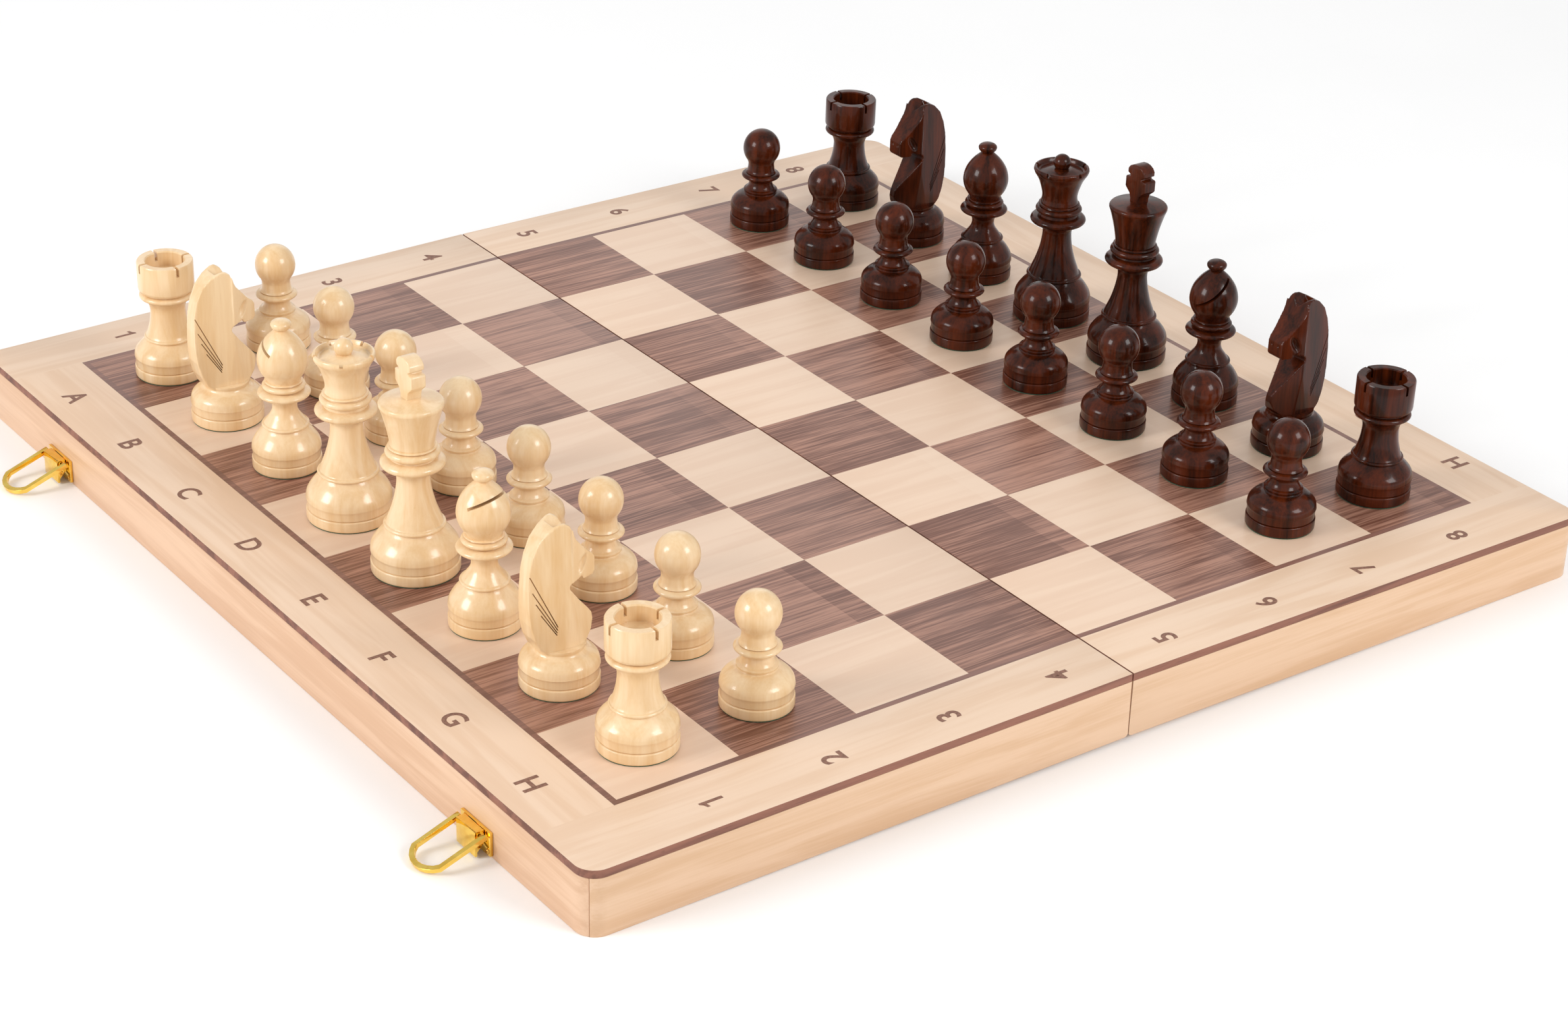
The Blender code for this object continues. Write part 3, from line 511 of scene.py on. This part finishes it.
def knight():
    """A flat-sided head sawn from a plank and carved, on a turned foot, facing +X."""
    line = base(16.1, 9.3) + curve((16.1, 9.3), (15.3, 12.4), (13.1, 14.6), (11.4, 15.4), (10.6, 15.9))
    line += curve((10.4, 16.2), (10.1, 16.9), (10.5, 17.8)) + [(10.5, 18.6), (0, 18.6)]
    foot = turn("knight", line)
    outline = [
        (5.4, 17.2), (9.6, 18.4), (12.8, 21.0), (14.4, 24.8), (13.9, 27.6), (11.8, 30.4), (5.8, 37.4),
        (1.0, 43.6), (0.9, 45.2), (2.2, 46.4), (5.6, 47.4), (6.6, 47.8), (7.6, 46.2), (9.4, 45.6),
        (12.8, 46.2), (13.7, 47.4), (13.7, 53.4), (12.8, 55.0), (9.8, 57.6), (3.8, 64.6), (3.0, 66.4),
        (1.6, 70.6), (-0.4, 71.9), (-2.8, 71.8), (-6.8, 69.8), (-10.8, 65.8), (-13.6, 60.0), (-15.2, 53.4),
        (-15.8, 46.0), (-15.9, 38.0), (-15.4, 31.0), (-14.0, 24.6), (-11.8, 19.6), (-9.4, 17.2),
    ]
    head = plate("head", outline, 7.5)
    mane = {frozenset(pair) for pair in zip(outline[23:33], outline[24:34])}
    editing(head)
    bpy.ops.mesh.select_mode(type="EDGE")
    bpy.ops.mesh.select_all(action="DESELECT")
    done()
    for edge in head.data.edges:
        ends = [head.data.vertices[i].co / MM for i in edge.vertices]
        flat = frozenset((round(p.x, 1), round(p.z, 1)) for p in ends)
        edge.select = flat in mane and all(p.y > 7 for p in ends)
    bpy.ops.object.mode_set(mode="EDIT")
    bpy.ops.mesh.bevel(offset=3.6 * MM, segments=3, clamp_overlap=False)
    done()
    shave(head, (2, 7.4, 40), (-math.sin(FLANK_TAPER), math.cos(FLANK_TAPER), 0.04), (-30, -26), (0.0, 40))
    shave(head, (1.6, 7.4, 50), (math.sin(0.26), math.cos(0.26), 0), (-0.5, -8), (30, 30))
    shave(head, (1.0, 7.5, 43.6), (0.4945, 0.8655, 0.08), (-14, -32), (30, 2.5))
    gouge(head, (7.4, 7.4, 53.2), 3.0, (0.7, 1.0, 1.7), 28)
    gouge(head, (0.8, 7.8, 60.6), 0.9)
    gouge(head, (13.9, 1.9, 51.8), 0.7)
    gouge(head, (6.4, 7.0, 47.2), 1.1, (1.6, 1.6, 0.5), -20)
    carve(head, slab("ears", (-9, -3.4, -3.4), (9, 3.4, 3.4), (45, 0, 0), (4.6, 0, 72.4)))
    across = (False, True, False)
    apply_modifier(head, "MIRROR", use_axis=across, use_bisect_axis=across, merge_threshold=MM / 1000)
    apply_modifier(head, "REMESH", mode="VOXEL", voxel_size=0.34 * MM)
    apply_modifier(head, "SMOOTH", factor=0.5, iterations=2)
    cuts = []
    kerfs = ((-9.8, 40.5, 25, 13.0), (-9.4, 36.4, 29, 10.3), (-8.9, 33.4, 31, 8.2), (-8.0, 30.3, 33, 5.9))
    for x, z, lean, reach in kerfs:
        for side in (-1, 1):
            inner, outer = sorted((-1.3 * side, 2.0 * side))
            cut = slab("kerf", (-0.22, inner, -reach), (0.22, outer, reach), (0, -lean, 0))
            face_y = 7.4 + math.tan(FLANK_TAPER) * (x - 2)
            stand = Matrix.Translation(Vector((x, side * face_y, z)) * MM)
            cuts.append(moved(cut, stand @ Matrix.Rotation(side * FLANK_TAPER, 4, "Z")))
    carve(head, joined("kerfs", *cuts))
    return smooth(carve(foot, head, "UNION"), 32)


# ---- where the men stand ----

FILES = "abcdefgh"
BACK_RANK = ("rook", "knight", "bishop", "queen", "king", "bishop", "knight", "rook")


def square_centre(file_index, rank):
    side = -1 if rank <= 4 else 1
    from_fold = 4 - rank if rank <= 4 else rank - 5
    return side * (AXIS_CLEAR + (from_fold + 0.5) * SQUARE - FOLD_KERF), (3.5 - file_index) * SQUARE


def felt_disc(name, radius):
    edge = [(radius - 0.1, 0), (radius, 0.08), (radius, 0.2), (radius - 0.1, 0.26)]
    disc = turn(name, [(0, 0), *edge, (0, 0.26)], 48)
    return moved(smooth(disc), Matrix.Translation((0, 0, -0.28 * MM)))


def set_up_men():
    models = {"king": king(), "queen": queen(), "rook": rook(), "pawn": pawn(), "knight": knight()}
    felts = {"king": 18.2, "queen": 17.9, "bishop": 14.7, "rook": 15.8, "pawn": 14.5, "knight": 15.7}
    pads = {kind: felt_disc(f"{kind}_felt", radius) for kind, radius in felts.items()}
    white = ("white", "lid", 1, 2, 0.0, boxwood, (-1.0, 55.6, (27, 0, -155)))
    black = ("black", "tray", 8, 7, math.pi, rosewood, (4.0, 57.5, (0, 40, -21)))
    for colour, half, back, front, turned_by, wood, slit in (white, black):
        models["bishop"] = bishop(*slit)
        for index, letter in enumerate(FILES):
            for kind, rank in ((BACK_RANK[index], back), ("pawn", front)):
                node = f"{colour}_{kind}" if kind in ("king", "queen") else f"{colour}_{kind}_{letter}"
                x, y = square_centre(index, rank)
                here = placed(half) @ Matrix.Translation((x, y, TOP + GAP))
                about = turned_by + (math.pi if node.endswith("bishop_c") else 0)
                here = here @ Matrix.Rotation(about, 4, "Z")
                verb = "carved" if kind == "knight" else "turned"
                man = painted(twin(models[kind], f"{node}_{verb}", here), wood)
                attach(man, node)
                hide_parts(node)
                pad = painted(twin(pads[kind], f"{node}_felt", here), felt)
                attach(pad, node)
        bpy.data.objects.remove(models.pop("bishop"))
    for model in [*models.values(), *pads.values()]:
        bpy.data.objects.remove(model)


set_up_men()


# ---- the two board panels ----

def panel(half):
    """Squares, line and mitred border on a board whose outer corners are rounded."""
    side = SIDES[half]
    reach = WIDTH / 2
    obj = block(f"{half}_board", (min(0, side) * HALF, -reach, UNDER), (max(0, side) * HALF, reach, TOP))
    moved(obj, Matrix.Translation((side * AXIS_CLEAR, 0, 0)))
    editing(obj)
    bpy.ops.mesh.select_mode(type="EDGE")
    bpy.ops.mesh.select_all(action="DESELECT")
    done()
    for edge in obj.data.edges:
        a, b = (obj.data.vertices[i].co for i in edge.vertices)
        edge.select = abs(a.z - b.z) > MM and min(abs(a.x), abs(b.x)) > HALF / 2
    bpy.ops.object.mode_set(mode="EDIT")
    bpy.ops.mesh.bevel(offset=CORNER_R, segments=10)
    field = AXIS_CLEAR + 4 * SQUARE - FOLD_KERF
    lines_x = [field - k * SQUARE for k in range(4)] + [field + LINE_W]
    lines_y = [k * SQUARE for k in range(-4, 5)] + [4 * SQUARE + LINE_W, -4 * SQUARE - LINE_W]

    def split(point, normal):
        bpy.ops.mesh.select_all(action="SELECT")
        bpy.ops.mesh.bisect(plane_co=point, plane_no=normal)

    for x in lines_x:
        split((side * x, 0, 0), (1, 0, 0))
    for y in lines_y:
        split((0, y, 0), (0, 1, 0))
    inner_x = side * (field + LINE_W)
    for end in (-1, 1):
        inner_y = end * (4 * SQUARE + LINE_W)
        choose_faces(obj, lambda c: c.x * side > inner_x * side and c.y * end > inner_y * end)
        mitre = (inner_y - end * reach, side * HALF - inner_x, 0)
        bpy.ops.mesh.bisect(plane_co=(inner_x, inner_y, 0), plane_no=mitre)
    done()
    painted(obj, maple_squares, walnut, inlay, maple_along, maple_across, core_board)
    for face in obj.data.polygons:
        face.material_index = panel_finish(face.center, face.normal, side, field)
    limit = {"limit_method": "ANGLE", "angle_limit": math.radians(50)}
    apply_modifier(obj, "BEVEL", width=0.35 * MM, segments=2, **limit)
    moved(smooth(obj), placed(half))
    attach(obj, half)
    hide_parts(f"{half}_panel")


def panel_finish(centre, normal, side, field):
    """Number of the finish of the face with this centre: light, dark, line, border along x or y, edge."""
    if normal.z < 0.5:
        return 5
    out, along = centre.x * side, abs(centre.y)
    if out < field and along < 4 * SQUARE:
        column = int((field - out) // SQUARE)
        rank = 1 + column if side < 0 else 8 - column
        file_index = int((4 * SQUARE - centre.y) // SQUARE)
        return 1 if (file_index + rank) % 2 else 0
    if out < field + LINE_W and along < 4 * SQUARE + LINE_W:
        return 2
    return 3 if along - 4 * SQUARE > out - field else 4


for half_name in SIDES:
    panel(half_name)


# ---- letters and numbers of the border ----

def figure_one():
    """The one has a flag at its head."""
    outline = [(1.7, 0), (1.7, 10.3), (0.6, 10.3), (-0.4, 9.2), (-2.3, 8.5), (-2.3, 7.2), (0, 7.6), (0, 0)]
    return moved(plate("one", outline, 0.03), Matrix.Rotation(-math.pi / 2, 4, "X"))


def letter_mesh(text):
    bpy.ops.object.text_add()
    obj = bpy.context.object
    obj.data.body = text
    obj.data.offset = 0.022
    obj.data.extrude = 0.002
    bpy.context.view_layer.update()
    only(obj)
    bpy.ops.object.convert(target="MESH")
    return bpy.context.object


def glyph(text, x, y, degrees, cap=10.3 * MM):
    """A burnt letter or figure, its middle at x and y, its top turned by degrees from +Y."""
    obj = figure_one() if text == "1" else letter_mesh(text)
    low = min(v.co.y for v in obj.data.vertices)
    high = max(v.co.y for v in obj.data.vertices)
    left = min(v.co.x for v in obj.data.vertices)
    right = max(v.co.x for v in obj.data.vertices)
    moved(obj, Matrix.Translation((-(left + right) / 2, -(low + high) / 2, 0)))
    size = cap / (high - low)
    thin = 0.01 if text != "1" else 0.7
    moved(obj, Matrix.Diagonal((0.95 * size, size, thin, 1)))
    turned = Matrix.Rotation(math.radians(degrees), 4, "Z")
    return moved(obj, Matrix.Translation((x, y, TOP + 0.03 * MM)) @ turned)


def lettering():
    glyphs = {"lid": [], "tray": []}
    for index, letter in enumerate("ABCDEFGH"):
        y = (3.5 - index) * SQUARE
        glyphs["lid"].append(glyph(letter, -239.6 * MM, y - 1.0 * MM, -90))
        glyphs["tray"].append(glyph(letter, 244.0 * MM, y + 1.5 * MM, 90))
    for rank in range(1, 9):
        half = "lid" if rank <= 4 else "tray"
        x = (rank - 4.5) * SQUARE
        glyphs[half].append(glyph(str(rank), x + 2.0 * MM, -240.8 * MM, 90))
        glyphs[half].append(glyph(str(rank), x + 0.5 * MM, 240.0 * MM, -90))
    for half, pieces in glyphs.items():
        marks = painted(joined(f"{half}_letters_and_numbers", *pieces), burnt)
        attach(moved(marks, placed(half)), half)


lettering()


# ---- rails, metal fittings and foam, refined from the frame's own solids ----

def refined(node, name, finish, body, width, segments=2, angle=30.0):
    """A copy of a frame solid with its edges eased, which stands for it."""
    obj = bpy.data.objects.new(name, nodes[node].data.copy())
    bpy.context.scene.collection.objects.link(obj)
    editing(obj)
    bpy.ops.mesh.remove_doubles(threshold=MM / 1000)
    bpy.ops.mesh.dissolve_limited(angle_limit=math.radians(1))
    done()
    if width:
        limit = {"limit_method": "ANGLE", "angle_limit": math.radians(angle)}
        apply_modifier(obj, "BEVEL", width=width * MM, segments=segments, use_clamp_overlap=True, **limit)
    painted(smooth(obj, 35), finish)
    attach(obj, body)
    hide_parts(node)
    return obj


for half_name in SIDES:
    for rail, wood in (("front_rail", rail_across), ("hinge_rail", rail_across),
                       ("side_rail_a", rail_along), ("side_rail_h", rail_along)):
        refined(f"{half_name}_{rail}", f"{half_name}_{rail}_wood", wood, half_name, 0.4)

for end in ("a", "h"):
    refined(f"latch_{end}_plate", f"latch_{end}_plate_gilt", gilt, "lid", 0.15)
    refined(f"latch_{end}_lever", f"latch_{end}_lever_gilt", gilt, f"lever_{end}", 0.3, 3)
    refined(f"latch_{end}_loop", f"latch_{end}_loop_gilt", gilt, f"loop_{end}", 0.7, 4, 50.0)
    refined(f"catch_{end}", f"catch_{end}_gilt", gilt, "tray", 0.25, 3)
    for leaf, body in (("lid_leaf", "lid"), ("tray_leaf", "tray")):
        refined(f"hinge_{end}_{leaf}", f"hinge_{end}_{leaf}_black", black_metal, body, 0.12)
    refined(f"hinge_{end}_pin", f"hinge_{end}_pin_black", black_metal, "lid", 0.1)
refined("lid_lining", "lid_lining_cloth", lining_cloth, "lid", 0.3)
foam = refined("tray_foam", "tray_foam_insert", flock, "tray", 1.0, 3)


def screw(radius):
    """A domed head with a cross slot, standing at the origin."""
    dome = curve((radius, 0.25), (radius * 0.8, 0.62), (radius * 0.42, 0.85), (0, 0.92), steps=3)
    head = turn("screw", [(0, 0), (radius, 0)] + dome, 32)
    for angle in (20, 110):
        carve(head, slab("slot", (-radius * 0.62, -0.17, 0.45), (radius * 0.62, 0.17, 2), (0, 0, angle)))
    return smooth(head)


def fasteners(half, node, radius, proud, height, spread):
    """Two screws in each of a half's two plates, given in millimetres from the face and the fold axis."""
    model = screw(radius)
    out = SIDES[half] * (FACE + proud * MM)
    for end in ("a", "h"):
        plate_name = node.format(end)
        low, high = (placed(half).inverted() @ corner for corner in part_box(plate_name))
        for side in (-1, 1):
            place = Vector((out, (low.y + high.y) / 2 + side * spread * MM, AXIS_CLEAR + height * MM))
            facing = Matrix.Rotation(SIDES[half] * math.pi / 2, 4, "Y")
            stand = placed(half) @ Matrix.Translation(place) @ facing
            piece = painted(twin(model, f"{plate_name}_screw_{side + 1}", stand), steel)
            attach(piece, half)
    bpy.data.objects.remove(model)


def hinge_covers():
    """A strip of black cloth glued over each hinge leaf, on the side that meets the contents."""
    model = slab("hinge_cover", (2.1, -23.4, 0.28), (13.6, 23.4, 0.64))
    smooth(apply_modifier(model, "BEVEL", width=0.12 * MM, segments=2))
    for end, centre in (("a", WIDTH / 2 - HINGE_INSET), ("h", HINGE_INSET - WIDTH / 2)):
        for half, turned_by in (("tray", 0), ("lid", math.pi)):
            stand = placed(half) @ Matrix.Translation((0, centre, 0)) @ Matrix.Rotation(turned_by, 4, "Z")
            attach(painted(twin(model, f"{half}_hinge_cover_{end}", stand), lining_cloth), half)
    bpy.data.objects.remove(model)


fasteners("tray", "catch_{}", 1.5, 1.28, 12.0, 8.2)
fasteners("lid", "latch_{}_plate", 1.1, 1.38, 3.4, 9.0)
hinge_covers()


# ---- floor, light and camera ----

def backdrop():
    bpy.ops.mesh.primitive_plane_add(size=8)
    floor = settled(bpy.context.object, "floor")
    table = mottled("white_table", (255, 255, 255), (253, 253, 253), 0.6, 3.0, 0.0, 0.05)
    floor.data.materials.append(table)
    world = bpy.data.worlds.new("studio")
    bpy.context.scene.world = world
    world.use_nodes = True
    world.node_tree.nodes["Background"].inputs["Color"].default_value = (1, 1, 1, 1)
    world.node_tree.nodes["Background"].inputs["Strength"].default_value = 0.66


def area_light(name, location, target, size, power):
    data = bpy.data.lights.new(name, "AREA")
    data.size = size
    data.energy = power
    lamp = bpy.data.objects.new(name, data)
    bpy.context.scene.collection.objects.link(lamp)
    lamp.location = location
    lamp.rotation_euler = (Vector(location) - Vector(target)).to_track_quat("Z", "Y").to_euler()


def camera():
    data = bpy.data.cameras.new("camera")
    data.lens = 79.41
    data.sensor_width = 36
    eye = bpy.data.objects.new("camera", data)
    bpy.context.scene.collection.objects.link(eye)
    eye.location = (FOLD.x - 0.055 * 14.75623, -0.055 * 20.32266, 0.03065 + 0.055 * 12.50224)
    eye.rotation_euler = [math.radians(a) for a in (62.111, -1.681, -35.624)]
    bpy.context.scene.camera = eye


backdrop()
bpy.context.scene.view_settings.view_transform = "Standard"
area_light("left_softbox", (-1.95, 0.3, 1.0), (0, 0, 0), 0.8, 24)
area_light("right_softbox", (0.6, -1.75, 1.15), (0, 0, 0), 0.8, 19)
area_light("back_softbox", (0.95, 1.5, 0.95), (0, 0, 0), 1.4, 3.5)
camera()
